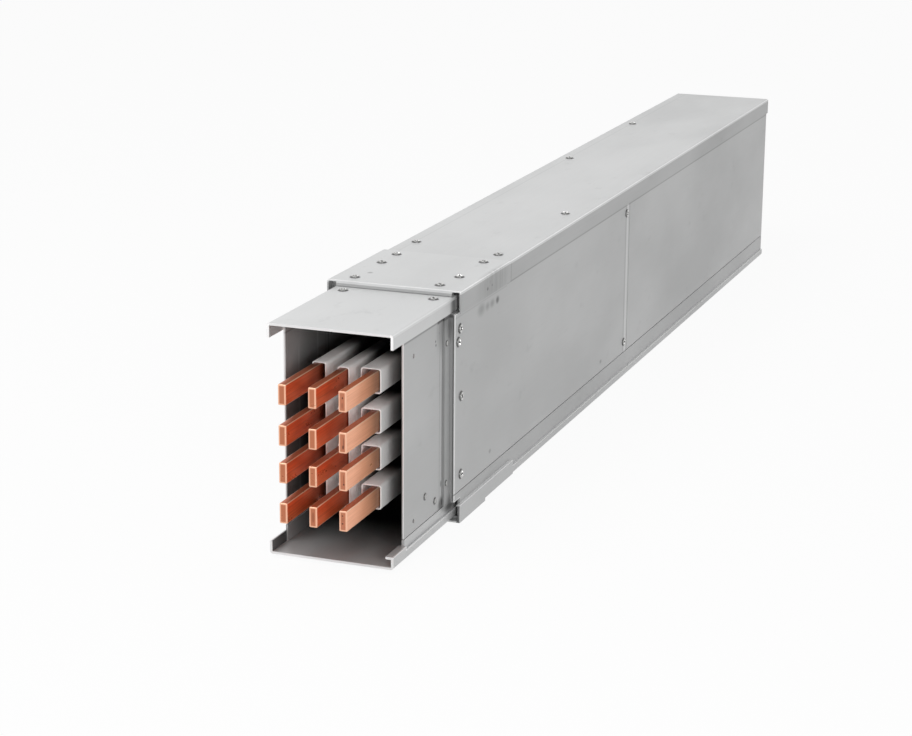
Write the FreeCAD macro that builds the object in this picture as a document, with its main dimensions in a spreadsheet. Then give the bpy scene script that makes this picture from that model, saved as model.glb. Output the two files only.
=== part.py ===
import FreeCAD, Part
import os
import Sketcher

# Busway section: a long sheet-metal duct whose open end shows twelve bare bar ends.
# Frame: X across the duct, Y along it with the bar end towards -Y, Z up, origin under the middle.

os.makedirs("parts", exist_ok=True)
doc = FreeCAD.newDocument("BuswaySection")
sheet = doc.addObject("Spreadsheet::Sheet", "Sizes")

# Driving dimensions in millimetres
sizes = [
    ("housingLength", 1830, "front edge of the end housing to the far end"),
    ("endWidth", 160, "outer width of the end housing"),
    ("endHeight", 287, "outer height of the end housing"),
    ("endSheet", 3, "sheet of the end housing's cap and channel"),
    ("capLip", 18, "down-turned lip of the end cap, from its top face"),
    ("channelLip", 16, "up-turned lip of the end channel at its mouth, from its under face"),
    ("channelLow", 12, "the same lip beside the side plates"),
    ("channelReturn", 10, "inward tab on the end channel's right lip"),
    ("channelUpstand", 24, "upstand inside the lip, from the channel's under face"),
    ("sideFoot", 25, "feet of the side plates, closure angles and rail noses, from that face"),
    ("endPlateSheet", 2.5, "end side plates and the upstands below them"),
    ("endPlateSetback", 40, "side plates behind the cap's front edge"),
    ("endOverlap", 202, "how far the end housing runs into the duct"),
    ("jointFront", 198, "front edge of the joint covers"),
    ("jointTopLength", 182, "joint cover on top"),
    ("jointBaseLength", 94, "floor of the joint cover below"),
    ("jointLipLength", 202, "lips of the joint cover below"),
    ("jointLip", 23, "up-turned lip of the joint cover below, from its under face"),
    ("tongueFoot", 4, "under edge of the tongues behind that floor"),
    ("jointSheet", 2, "sheet of the joint covers"),
    ("jointRecess", 12, "the duct's sheets start this far inside the joint covers"),
    ("ductSheet", 2.5, "sheet of the duct's top and bottom covers"),
    ("panelSheet", 3, "side panels and bottom rails"),
    ("panelGap", 2, "between the end housing's lips and the side panels"),
    ("coverGap", 3.5, "between the end cap and the duct's top cover"),
    ("hemLength", 6, "hem below the front edge of the joint cover on top"),
    ("hemGap", 0.5, "between the end cap and that hem"),
    ("coverLip", 26, "down-turned lip of the top cover and its joint cover"),
    ("trayLip", 11, "up-turned lip of the bottom cover"),
    ("railHeight", 34, "top of the bottom rail above the duct's floor"),
    ("railGap", 1, "open seam between the rail and the side panels"),
    ("panelLead", 8, "side panels stand this far ahead of the joint covers"),
    ("panelSplit", 940, "seam between the side panels, from the front edge"),
    ("seamWidth", 1.2, "open seam between two side panels"),
    ("seamStripWidth", 34, "backing strip behind the seam"),
    ("closureStart", 169, "front edge of the closure angles"),
    ("closureTurn", 188, "where the closure angle turns outwards"),
    ("closureEnd", 216, "rear edge of the closure angles"),
    ("closureSheet", 2, "closure angles"),
    ("bendRadius", 0.8, "inner radius of every fold"),
    ("barWidth", 10, "bar, across"),
    ("barHeight", 25, "bar, upright"),
    ("barChamfer", 1.2, "bar, long edges and tip"),
    ("barProjection", 51, "bar tips ahead of the end housing"),
    ("barFarSetback", 4, "bars end this far inside the far end"),
    ("columnPitch", 38, "bar columns, centre to centre"),
    ("rowPitch", 49.4, "two upper and two lower bar rows, centre to centre"),
    ("rowMiddlePitch", 45.6, "second to third bar row, centre to centre"),
    ("gridRise", 1.3, "middle of the bar rows above the middle of the end housing"),
    ("sleeveWall", 1.8, "insulating sleeve"),
    ("sleeveFit", 0.2, "sleeve to bar where they touch"),
    ("sleeveDrop", 2.2, "open under the bar in its sleeve"),
    ("sleeveSlack", 1.2, "open beside the bar in its sleeve"),
    ("leftSlack", 5, "open to the right of a left bar in its sleeve"),
    ("rightSlack", 11.5, "open to the left of a right bar in its sleeve"),
    ("leftSleeveStart", 50, "left sleeves behind the cap's front edge"),
    ("middleSleeveStart", 40, "middle sleeves behind the cap's front edge"),
    ("rightSleeveStart", 46, "right sleeves behind the cap's front edge"),
    ("sleeveCorner", 3, "outer corner radius of a sleeve"),
    ("sleeveFarSetback", 40, "sleeves end this far inside the far end"),
    ("supportThick", 16, "bar supports, along the duct"),
    ("supportFit", 0.3, "support to sleeve and to the walls"),
    ("supportFirst", 325, "first bar support, from the front edge"),
    ("supportSecond", 691, "second bar support"),
    ("supportThird", 1106, "third bar support"),
    ("supportFourth", 1461, "fourth bar support"),
    ("supportLast", 70, "last bar support's front face to the far end"),
    ("holeRadius", 2.75, "mounting holes in the right end side plate"),
    ("holeBack", 72, "those holes behind the cap's front edge"),
    ("holeLow", 38, "lower hole above the end channel's under face"),
    ("holeRise", 206, "lower to upper hole"),
    ("leftScrewEdge", 19, "left row of top screws, in from the end cap's edge"),
    ("rightScrewEdge", 20, "right row of top screws, in from the end cap's edge"),
    ("capScrewEdge", 20, "end cap's screws, in from its edge"),
    ("capScrewLead", 18, "end cap's screws ahead of the joint covers"),
    ("leftScrewFirst", 22, "left row, first screw behind the joint cover's front edge"),
    ("leftScrewSecond", 110, "left row, second screw"),
    ("firstScrewEdge", 27, "first screw of the right row, in from the end cap's edge"),
    ("rightScrewFirst", 22, "right row, first screw"),
    ("rightScrewSecond", 72, "right row, second screw"),
    ("lastScrewEdge", 21, "last screw of both rows to the joint cover's rear edge"),
    ("coverScrewEdge", 12, "left screws of the top cover, in from the end cap's edge"),
    ("coverScrewNear", 35, "first screw behind the joint cover, right"),
    ("coverScrewFar", 67, "first screw behind the joint cover, left"),
    ("panelScrewBack", 22, "side panel's lower screws behind its front edge"),
    ("panelScrewNext", 11, "second highest screw behind that edge"),
    ("panelScrewHigh", 17, "highest screw behind that edge"),
    ("panelScrewLow", 56, "side panel's lowest screw above the duct's floor"),
    ("panelScrewStep", 102, "lowest to middle screw"),
    ("panelScrewDrop", 41, "highest screw below the end cap"),
    ("panelScrewPair", 16, "highest to second highest screw"),
    ("seamScrewLead", 16, "seam screws ahead of the seam"),
    ("seamScrewLow", 51, "lower seam screw above the duct's floor"),
    ("seamScrewDrop", 35, "upper seam screw below the end cap"),
    ("closureRivetBack", 8, "closure angle's rivets behind its front edge"),
    ("closureRivetLow", 54, "lower one above the duct's floor"),
    ("closureRivetDrop", 53, "upper one below the end cap"),
    ("rivetLead", 88, "first rivet of an end side plate ahead of the joint covers"),
    ("rivetLow", 57, "first rivet above the duct's floor"),
    ("rivetStep", 33, "first to second rivet, along the duct"),
    ("rivetFall", 16, "first to second rivet, downwards"),
    ("screwRadius", 2.4, "screw shank"),
    ("screwSpare", 1.5, "screw shank past the last sheet"),
    ("screwFit", 0.3, "screw shank in its hole"),
    ("headRadius", 5.8, "screw head"),
    ("headHeight", 2.5, "screw head"),
    ("rivetRadius", 4, "rivet head"),
    ("rivetHeight", 1.4, "rivet head"),
]
for row, (alias, value, note) in enumerate(sizes, start=1):
    sheet.set("A%d" % row, alias)
    sheet.set("B%d" % row, str(value))
    sheet.set("C%d" % row, note)
    sheet.setAlias("B%d" % row, alias)
doc.recompute()


# Derived places, each an expression on the sheet's cells
def cell(formula):
    """Puts the sheet's name before each alias in a formula."""
    words = []
    word = ""
    for letter in formula + " ":
        if letter.isalnum():
            word += letter
            continue
        words.append("Sizes." + word if word and word[0].isalpha() else word)
        words.append(letter)
        word = ""
    return "".join(words).strip()


front = "(barProjection - (housingLength + barProjection) / 2)"
ductFloor = "(jointSheet + ductSheet)"
endTop = "(%s + endHeight)" % ductFloor
endPlateOut = "(endWidth / 2 - endSheet)"
channelTop = "(%s + channelLip)" % ductFloor
channelLowTop = "(%s + channelLow)" % ductFloor
sideLow = "(%s + sideFoot)" % ductFloor
coverUnder = "(%s + coverGap)" % endTop
coverTop = "(%s + ductSheet)" % coverUnder
jointTop = "(%s + jointSheet)" % coverTop
panelIn = "(endWidth / 2 + panelGap)"
panelOut = "(%s + panelSheet)" % panelIn
coverOut = "(%s + ductSheet)" % panelOut
jointOut = "(%s + jointSheet)" % coverOut
railTop = "(%s + railHeight)" % ductFloor
panelFoot = "(%s + railGap)" % railTop
panelFront = "(jointFront - panelLead)"
panelTop = "(%s - bendRadius)" % coverUnder
barMiddle = "(%s + endHeight / 2 + gridRise)" % ductFloor


def number(formula):
    """Value of a formula on the sheet's cells."""
    return float(sheet.evalExpression(cell(formula)))


# Bodies: each piece is a sketched outline carried along one axis
planes = {"across": "XZ_Plane", "level": "XY_Plane", "side": "YZ_Plane"}


def newBody(label, start):
    body = doc.addObject("PartDesign::Body", label)
    body.Label = label
    body.setExpression("Placement.Base.y", cell("%s + %s" % (front, start)))
    return body


def newSketch(body, name, plane):
    sketch = body.newObject("Sketcher::SketchObject", name)
    for feature in body.Origin.OriginFeatures:
        if feature.Role == planes[plane]:
            sketch.AttachmentSupport = [(feature, "")]
    sketch.MapMode = "FlatFace"
    return sketch


def fix(sketch, kind, item, vertex, formula):
    """One coordinate of a point, measured from the sketch's origin."""
    index = sketch.addConstraint(Sketcher.Constraint(kind, -1, 1, item, vertex, number(formula)))
    sketch.setExpression("Constraints[%d]" % index, cell(formula))


def outline(sketch, corners):
    """Closed polygon whose corners are pairs of formulas."""
    points = [FreeCAD.Vector(number(a), number(b), 0) for a, b in corners]
    first = sketch.GeometryCount
    count = len(points)
    for i in range(count):
        sketch.addGeometry(Part.LineSegment(points[i], points[(i + 1) % count]), False)
    for i in range(count):
        following = first + (i + 1) % count
        sketch.addConstraint(Sketcher.Constraint("Coincident", first + i, 2, following, 1))
    for i, (a, b) in enumerate(corners):
        fix(sketch, "DistanceX", first + i, 1, a)
        fix(sketch, "DistanceY", first + i, 1, b)


def rectangle(sketch, left, right, low, high):
    outline(sketch, [(left, low), (right, low), (right, high), (left, high)])


def pad(body, sketch, length):
    """Carries an outline along +Y from the body's start."""
    feature = body.newObject("PartDesign::Pad", sketch.Name + "Pad")
    feature.Profile = sketch
    feature.Reversed = True
    feature.setExpression("Length", cell(length))
    doc.recompute()
    return feature


def longEdges(shape, places):
    """Names of the edges along Y that pass through the given x, z places."""
    names = []
    for i, edge in enumerate(shape.Edges, start=1):
        a = edge.Vertexes[0].Point
        b = edge.Vertexes[-1].Point
        if abs(a.x - b.x) > 1e-6 or abs(a.z - b.z) > 1e-6:
            continue
        if any(abs(a.x - x) < 1e-4 and abs(a.z - z) < 1e-4 for x, z in places):
            names.append("Edge%d" % i)
    return names


def crossEdges(shape, distances):
    """Names of the edges that lie square to Y at the given distances from the body's start."""
    names = []
    for i, edge in enumerate(shape.Edges, start=1):
        reach = edge.BoundBox
        if any(abs(reach.YMin - y) < 1e-4 and abs(reach.YMax - y) < 1e-4 for y in distances):
            names.append("Edge%d" % i)
    return names


def roundFolds(body, feature, corners, radius):
    places = [(number(a), number(b)) for a, b in corners]
    fillet = body.newObject("PartDesign::Fillet", body.Label + "Fold")
    fillet.Base = (feature, longEdges(feature.Shape, places))
    fillet.setExpression("Radius", cell(radius))
    fillet.Refine = feature.Refine
    doc.recompute()
    return fillet


def mirrored(corners):
    """The same outline points on both sides of the middle plane."""
    return corners + [("-1 * " + a, b) for a, b in corners]


def drill(body, plane, centres, radius):
    """Round holes right through the body, square to the plane."""
    before = body.Shape.Volume
    sketch = newSketch(body, body.Label + "HoleMarks", plane)
    for i, (a, b) in enumerate(centres):
        centre = FreeCAD.Vector(number(a), number(b), 0)
        sketch.addGeometry(Part.Circle(centre, FreeCAD.Vector(0, 0, 1), number(radius)), False)
        fix(sketch, "DistanceX", i, 3, a)
        fix(sketch, "DistanceY", i, 3, b)
        index = sketch.addConstraint(Sketcher.Constraint("Radius", i, number(radius)))
        sketch.setExpression("Constraints[%d]" % index, cell(radius))
    pocket = body.newObject("PartDesign::Pocket", body.Label + "Holes")
    pocket.Profile = sketch
    pocket.Type = "ThroughAll"
    pocket.Midplane = True
    doc.recompute()
    if body.Shape.Volume >= before:
        raise RuntimeError("no hole was cut in " + body.Label)


# Screw places: distance across or up, and distance back from the end cap's front edge
screwHole = "(screwRadius + screwFit)"
leftRow = "(leftScrewEdge - endWidth / 2)"
rightRow = "(endWidth / 2 - rightScrewEdge)"
coverLeft = "(coverScrewEdge - endWidth / 2)"
firstRight = "(endWidth / 2 - firstScrewEdge)"
capEdge = "(endWidth / 2 - capScrewEdge)"
jointRear = "(jointFront + jointTopLength)"
supportHalf = "supportThick / 2"
capScrews = [("-1 * " + capEdge, "jointFront - capScrewLead"), (capEdge, "jointFront - capScrewLead")]
jointScrews = [(leftRow, "jointFront + leftScrewFirst"), (leftRow, "jointFront + leftScrewSecond"),
               (leftRow, "%s - lastScrewEdge" % jointRear), (firstRight, "jointFront + rightScrewFirst"),
               (rightRow, "jointFront + rightScrewSecond"), (rightRow, "%s - lastScrewEdge" % jointRear)]
coverScrews = [(coverLeft, "%s + coverScrewFar" % jointRear), (rightRow, "%s + coverScrewNear" % jointRear),
               (rightRow, "supportSecond + " + supportHalf), (coverLeft, "supportThird + " + supportHalf),
               (coverLeft, "supportFourth + " + supportHalf)]
panelBack = "%s + panelScrewBack" % panelFront
highScrew = "endHeight - panelScrewDrop"
panelScrews = [(panelBack, "panelScrewLow"), (panelBack, "panelScrewLow + panelScrewStep"),
               (panelFront + " + panelScrewNext", highScrew + " - panelScrewPair"),
               (panelFront + " + panelScrewHigh", highScrew)]
seamBack = "panelSplit - seamScrewLead"
seamScrews = [(seamBack, "seamScrewLow"), (seamBack, "endHeight - seamScrewDrop")]
closureBack = "closureStart + closureRivetBack"
closureRivets = [(closureBack, "closureRivetLow"), (closureBack, "endHeight - closureRivetDrop")]
rivetFront = "jointFront - rivetLead"
plateRivets = [(rivetFront, "rivetLow"), (rivetFront + " + rivetStep", "rivetLow - rivetFall")]


def along(points, start):
    """Level places of a sheet, measured from the sheet's own start."""
    return [(a, "%s - (%s)" % (b, start)) for a, b in points]


def alongSide(points, start, floor):
    """Places on an upright sheet: back from its start, up from the duct's floor."""
    return [("%s - (%s)" % (a, start), "%s + %s" % (floor, b)) for a, b in points]


def trough(half, base, sheetName, rise, turnDown):
    """U outline of a folded sheet: base face outside, lips of the given rise."""
    inner = "(%s - %s)" % (half, sheetName)
    sign = "-" if turnDown else "+"
    face = "(%s %s %s)" % (base, sign, sheetName)
    tip = "(%s %s %s)" % (base, sign, rise)
    right = [(half, base), (half, tip), (inner, tip), (inner, face)]
    left = [("-1 * " + a, b) for a, b in reversed(right)]
    return right + left, [(half, base)], [(inner, face)]


def carried(body, corners, lead, rest):
    """Carries an outline along +Y in two stretches, and leaves each with faces of its own."""
    first = newSketch(body, body.Label + "Outline", "across")
    outline(first, corners)
    pad(body, first, lead).Refine = False
    second = newSketch(body, body.Label + "Onward", "across")
    second.setExpression("AttachmentOffset.Base.z", cell("-1 * (%s)" % lead))
    outline(second, corners)
    solid = pad(body, second, rest)
    solid.Refine = False
    doc.recompute()
    return solid


def foldedCover(label, half, base, sheetName, rise, turnDown, start, length, lead=None):
    """A sheet folded down or up along both long edges, with rounded folds."""
    body = newBody(label, start)
    corners, outerFold, innerFold = trough(half, base, sheetName, rise, turnDown)
    if lead:
        solid = carried(body, corners, lead, "%s - %s" % (length, lead))
    else:
        sketch = newSketch(body, label + "Outline", "across")
        outline(sketch, corners)
        solid = pad(body, sketch, length)
    inside = roundFolds(body, solid, mirrored(innerFold), "bendRadius")
    roundFolds(body, inside, mirrored(outerFold), "bendRadius + " + sheetName)
    return body


def uprightSheet(label, sign, start, inner, outer, corners):
    """Flat sheet across X between two distances from the middle, cut to an outline of (back, up) corners."""
    body = newBody(label, start)
    sketch = newSketch(body, label + "Outline", "side")
    outline(sketch, corners)
    sketch.setExpression("AttachmentOffset.Base.z", cell(sign + outer if sign else inner))
    feature = body.newObject("PartDesign::Pad", label + "Pad")
    feature.Profile = sketch
    feature.setExpression("Length", cell("%s - %s" % (outer, inner)))
    doc.recompute()
    return body


def plainCorners(length, low, high):
    return [("0", low), (length, low), (length, high), ("0", high)]


# End housing
def endCap():
    body = foldedCover("end_top_cap", "(endWidth / 2)", endTop, "endSheet", "capLip", True,
                       "0", "jointFront + endOverlap")
    drill(body, "level", capScrews + jointScrews, screwHole)


def endChannel():
    """Floor and up-turned lips, higher at the mouth, a tab on the right, upstands under the plates."""
    label = "end_bottom_channel"
    body = newBody(label, "0")
    half = "(endWidth / 2)"
    wall = "(endWidth / 2 - endSheet)"
    tip = "(endWidth / 2 - channelReturn)"
    floor = "(%s + endSheet)" % ductFloor
    under = "(%s - endSheet)" % channelTop
    length = "jointFront + endOverlap"
    right = [(half, ductFloor), (half, channelLowTop), (wall, channelLowTop), (wall, floor)]
    left = [("-1 * " + a, b) for a, b in reversed(right)]
    sketch = newSketch(body, label + "Outline", "across")
    outline(sketch, right + left)
    solid = pad(body, sketch, length)
    inside = roundFolds(body, solid, mirrored([(wall, floor)]), "bendRadius")
    roundFolds(body, inside, mirrored([(half, ductFloor)]), "bendRadius + endSheet")
    mouth = newSketch(body, label + "Mouth", "across")
    rectangle(mouth, "-1 * " + half, "-1 * " + wall, channelLowTop, channelTop)
    outline(mouth, [(half, channelLowTop), (half, channelTop), (tip, channelTop), (tip, under),
                    (wall, under), (wall, channelLowTop)])
    pad(body, mouth, "endPlateSetback + endSheet")
    upstands = newSketch(body, label + "Upstands", "across")
    upstands.setExpression("AttachmentOffset.Base.z", cell("-1 * endPlateSetback"))
    for sign in ("-1 * ", ""):
        rectangle(upstands, sign + "(%s - endPlateSheet)" % endPlateOut, sign + endPlateOut, floor,
                  "%s + channelUpstand" % ductFloor)
    pad(body, upstands, length + " - endPlateSetback")


def endPlate(side, sign):
    label = "end_side_plate_" + side
    length = "(jointFront + endOverlap - endPlateSetback)"
    body = uprightSheet(label, sign, "endPlateSetback", "(%s - endPlateSheet)" % endPlateOut, endPlateOut,
                        plainCorners(length, sideLow, "(%s - endSheet - bendRadius)" % endTop))
    drill(body, "side", alongSide(closureRivets + plateRivets, "endPlateSetback", ductFloor), screwHole)
    if side == "right":
        back = "holeBack - endPlateSetback"
        low = "%s + holeLow" % ductFloor
        drill(body, "side", [(back, low), (back, low + " + holeRise")], "holeRadius")


def closure(side, sign):
    """Stepped angle that closes the gap between the end side plate and the side panel."""
    label = "closure_angle_" + side
    body = newBody(label, "closureStart")
    body.setExpression("Placement.Base.z", cell(sideLow))
    turn = "(closureTurn - closureStart)"
    end = "(closureEnd - closureStart)"
    inner = sign + endPlateOut
    outer = sign + "(%s + closureSheet)" % endPlateOut
    wall = sign + panelIn
    wallIn = sign + "(%s - closureSheet)" % panelIn
    sketch = newSketch(body, label + "Outline", "level")
    outline(sketch, [(inner, "0"), (outer, "0"), (outer, turn), (wall, turn), (wall, end), (wallIn, end),
                     (wallIn, turn + " + closureSheet"), (inner, turn + " + closureSheet")])
    feature = body.newObject("PartDesign::Pad", label + "Pad")
    feature.Profile = sketch
    feature.setExpression("Length", cell("endHeight - capLip - sideFoot"))
    doc.recompute()
    places = alongSide(closureRivets + panelScrews, "closureStart", "0")
    drill(body, "side", [(a, "%s - sideFoot" % b) for a, b in places], screwHole)


# Duct
def topCover():
    start = "(jointFront + jointRecess)"
    body = foldedCover("top_cover", coverOut, coverTop, "ductSheet", "coverLip", True,
                       start, "housingLength - " + start)
    drill(body, "level", along(jointScrews + coverScrews, start), screwHole)


def bottomCover():
    """Its under face is split where the joint cover below ends, so that a hanger's face is clear."""
    start = "(jointFront + jointRecess)"
    foldedCover("bottom_cover", coverOut, "jointSheet", "ductSheet", "trayLip", False,
                start, "housingLength - " + start, "(jointBaseLength - jointRecess)")


def ductSide(side, sign):
    """Bottom rail, two side panels above it and the strip behind their seam."""
    railLength = "(housingLength - %s)" % panelFront
    railFoot = "(%s + bendRadius)" % ductFloor
    nose = "panelLead + jointRecess"
    uprightSheet("bottom_rail_" + side, sign, panelFront, panelIn, panelOut,
                 [("0", sideLow), (nose, sideLow), (nose, railFoot),
                  (railLength, railFoot), (railLength, railTop), ("0", railTop)])
    frontLength = "(panelSplit - seamWidth / 2 - %s)" % panelFront
    lipFoot = "(%s - coverLip)" % coverTop
    frontPanel = uprightSheet("side_panel_front_" + side, sign, panelFront, panelIn, panelOut,
                              [("0", panelFoot), (frontLength, panelFoot), (frontLength, panelTop),
                               (nose, panelTop), (nose, lipFoot), ("0", lipFoot)])
    drill(frontPanel, "side", alongSide(panelScrews + seamScrews, panelFront, ductFloor), screwHole)
    rearStart = "(panelSplit + seamWidth / 2)"
    uprightSheet("side_panel_rear_" + side, sign, rearStart, panelIn, panelOut,
                 plainCorners("(housingLength - %s)" % rearStart, panelFoot, panelTop))
    stripStart = "(panelSplit - seamStripWidth / 2)"
    strip = uprightSheet("seam_strip_" + side, sign, stripStart, "(%s - panelSheet)" % panelIn, panelIn,
                         plainCorners("seamStripWidth", ductFloor, coverUnder))
    drill(strip, "side", alongSide(seamScrews, stripStart, ductFloor), screwHole)


# Joint covers
def jointTopCover():
    """Its front edge has a hem that nearly meets the end cap."""
    label = "joint_top_cover"
    body = foldedCover(label, jointOut, jointTop, "jointSheet", "(coverLip + jointSheet)", True,
                       "jointFront", "jointTopLength")
    hem = newSketch(body, label + "Hem", "across")
    rectangle(hem, "-1 * " + endPlateOut, endPlateOut, "%s + hemGap" % endTop, coverTop)
    pad(body, hem, "hemLength")
    drill(body, "level", along(jointScrews, "jointFront"), screwHole)


def jointBottomCover():
    """Short floor under the duct; its lips run on behind it as tongues, with flanges against the rails."""
    label = "joint_bottom_cover"
    body = newBody(label, "jointFront")
    wall = "(%s - jointSheet)" % jointOut
    under = "(jointLip - jointSheet)"
    right = [(jointOut, "0"), (jointOut, "jointLip"), (panelOut, "jointLip"), (panelOut, under),
             (wall, under), (wall, "jointSheet")]
    left = [("-1 * " + a, b) for a, b in reversed(right)]
    sketch = newSketch(body, label + "Outline", "across")
    outline(sketch, right + left)
    solid = pad(body, sketch, "jointBaseLength")
    tongueCorners = [(jointOut, "tongueFoot")] + right[1:5] + [(wall, "tongueFoot")]
    for side, sign in (("Left", "-1 * "), ("Right", "")):
        tongue = newSketch(body, label + "Tongue" + side, "across")
        outline(tongue, [(sign + a, b) for a, b in tongueCorners])
        solid = pad(body, tongue, "jointLipLength")
    roundFolds(body, solid, mirrored([(jointOut, "jointLip")]), "bendRadius")


# Bars, their sleeves and supports
# Column: name, place across, sleeve's front, open width to the left and to the right of the bar
columns = [("left", "-1 * columnPitch", "leftSleeveStart", "sleeveFit", "leftSlack"),
           ("middle", "0", "middleSleeveStart", "sleeveSlack", "sleeveSlack"),
           ("right", "columnPitch", "rightSleeveStart", "rightSlack", "sleeveSlack")]
rows = [("row1", "%s + rowMiddlePitch / 2 + rowPitch" % barMiddle),
        ("row2", "%s + rowMiddlePitch / 2" % barMiddle),
        ("row3", "%s - rowMiddlePitch / 2" % barMiddle),
        ("row4", "%s - rowMiddlePitch / 2 - rowPitch" % barMiddle)]
sleeveTop = "(barHeight / 2 + sleeveFit)"
sleeveFoot = "(barHeight / 2 + sleeveDrop)"


def bar(row, column, across, up, sleeveStart):
    """Chamfered bar whose bare end, up to the sleeve's mouth, has side faces of its own."""
    label = "bar_%s_%s" % (row, column)
    body = newBody(label, "-1 * barProjection")
    body.setExpression("Placement.Base.x", cell(across))
    body.setExpression("Placement.Base.z", cell(up))
    wide, high = "barWidth / 2", "barHeight / 2"
    flatWide, flatHigh = wide + " - barChamfer", high + " - barChamfer"
    half = [(wide, "-1 * (%s)" % flatHigh), (wide, flatHigh), (flatWide, high)]
    half.append(("-1 * (%s)" % flatWide, high))
    corners = half + [("-1 * (%s)" % a, "-1 * (%s)" % b) for a, b in half]
    solid = carried(body, corners, "barProjection + " + sleeveStart,
                    "housingLength - barFarSetback - " + sleeveStart)
    ends = (0, number("barProjection + housingLength - barFarSetback"))
    chamfer = body.newObject("PartDesign::Chamfer", label + "Tips")
    chamfer.Base = (solid, crossEdges(solid.Shape, ends))
    chamfer.Refine = False
    chamfer.setExpression("Size", cell("barChamfer"))
    doc.recompute()


def sleeve(row, column, across, up, sleeveStart, leftOpen, rightOpen):
    label = "sleeve_%s_%s" % (row, column)
    body = newBody(label, sleeveStart)
    body.setExpression("Placement.Base.x", cell(across))
    body.setExpression("Placement.Base.z", cell(up))
    left, right = "(barWidth / 2 + %s)" % leftOpen, "(barWidth / 2 + %s)" % rightOpen
    outLeft, outRight = "-1 * (%s + sleeveWall)" % left, "%s + sleeveWall" % right
    outLow, outHigh = "-1 * (%s + sleeveWall)" % sleeveFoot, "%s + sleeveWall" % sleeveTop
    sketch = newSketch(body, label + "Outline", "across")
    rectangle(sketch, outLeft, outRight, outLow, outHigh)
    rectangle(sketch, "-1 * " + left, right, "-1 * " + sleeveFoot, sleeveTop)
    solid = pad(body, sketch, "housingLength - sleeveFarSetback - " + sleeveStart)
    corners = [(a, b) for a in (outLeft, outRight) for b in (outLow, outHigh)]
    roundFolds(body, solid, corners, "sleeveCorner")


def support(index, start, half, low, high):
    """Insulating plate with a window for each sleeved bar."""
    label = "bar_support_%d" % index
    body = newBody(label, start)
    sketch = newSketch(body, label + "Outline", "across")
    rectangle(sketch, "-1 * " + half, half, low, high)
    for _, up in rows:
        for _, across, _, leftOpen, rightOpen in columns:
            rectangle(sketch, "%s - %s - barWidth / 2 - sleeveWall - supportFit" % (across, leftOpen),
                      "%s + %s + barWidth / 2 + sleeveWall + supportFit" % (across, rightOpen),
                      "%s - %s - sleeveWall - supportFit" % (up, sleeveFoot),
                      "%s + %s + sleeveWall + supportFit" % (up, sleeveTop))
    pad(body, sketch, "supportThick")


def supports():
    support(1, "supportFirst", "(%s - endPlateSheet - supportFit)" % endPlateOut, "%s + endSheet" % ductFloor,
            "%s - endSheet - supportFit" % endTop)
    starts = ["supportSecond", "supportThird", "supportFourth", "housingLength - supportLast"]
    for index, start in enumerate(starts, start=2):
        support(index, start, "(%s - supportFit)" % panelIn, ductFloor, "%s - supportFit" % coverUnder)


# Screws and rivets, several solids to a node
def fastener(headRadius, headHeight, shank, crossed):
    """Head on the level plane with its shank below, pointing up."""
    crown = Part.makeCylinder(headRadius, headHeight)
    rim = [edge for edge in crown.Edges if abs(edge.CenterOfMass.z - headHeight) < 1e-6]
    solid = crown.makeFillet(headHeight * 0.6, rim)
    stem = Part.makeCylinder(number("screwRadius"), shank, FreeCAD.Vector(0, 0, -shank))
    solid = solid.fuse(stem)
    if crossed:
        reach = headRadius * 0.6
        width = headRadius * 0.22
        depth = headHeight * 0.5
        for a, b in ((reach, width), (width, reach)):
            slot = Part.makeBox(2 * a, 2 * b, depth, FreeCAD.Vector(-a, -b, headHeight - depth))
            solid = solid.cut(slot)
    return solid.removeSplitter()


def fasteners(label, places, axis, shank, kind="screw"):
    """Copies of one screw or rivet, each turned to the outward axis."""
    if kind == "screw":
        one = fastener(number("headRadius"), number("headHeight"), number(shank), True)
    else:
        one = fastener(number("rivetRadius"), number("rivetHeight"), number(shank), False)
    turn = FreeCAD.Rotation(FreeCAD.Vector(0, 0, 1), FreeCAD.Vector(*axis))
    solids = []
    for x, y, z in places:
        copy = one.copy()
        copy.Placement = FreeCAD.Placement(FreeCAD.Vector(number(x), number(y), number(z)), turn)
        solids.append(copy)
    group = doc.addObject("Part::Feature", label)
    group.Label = label
    group.Shape = Part.makeCompound(solids)
    group.setExpression("Placement.Base.y", cell(front))


def allFasteners():
    spare = " + screwSpare"
    fasteners("end_cap_screws", [(x, y, endTop) for x, y in capScrews], (0, 0, 1), "endSheet" + spare)
    stack = "jointSheet + ductSheet + coverGap + endSheet"
    fasteners("joint_cover_screws", [(x, y, jointTop) for x, y in jointScrews],
              (0, 0, 1), stack + spare)
    fasteners("top_cover_screws", [(x, y, coverTop) for x, y in coverScrews], (0, 0, 1), "ductSheet")
    for side, sign, way in (("left", "-1 * ", -1), ("right", "", 1)):
        axis = (way, 0, 0)
        floorUp = "%s + " % ductFloor
        fasteners("side_panel_screws_" + side, [(sign + panelOut, y, floorUp + z) for y, z in panelScrews],
                  axis, "panelSheet + closureSheet" + spare)
        fasteners("seam_screws_" + side, [(sign + panelOut, y, floorUp + z) for y, z in seamScrews],
                  axis, "2 * panelSheet" + spare)
        fasteners("closure_rivets_" + side,
                  [(sign + "(%s + closureSheet)" % endPlateOut, y, floorUp + z) for y, z in closureRivets],
                  axis, "closureSheet + endPlateSheet", "rivet")
        fasteners("end_plate_rivets_" + side, [(sign + endPlateOut, y, floorUp + z) for y, z in plateRivets],
                  axis, "endPlateSheet", "rivet")


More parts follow.
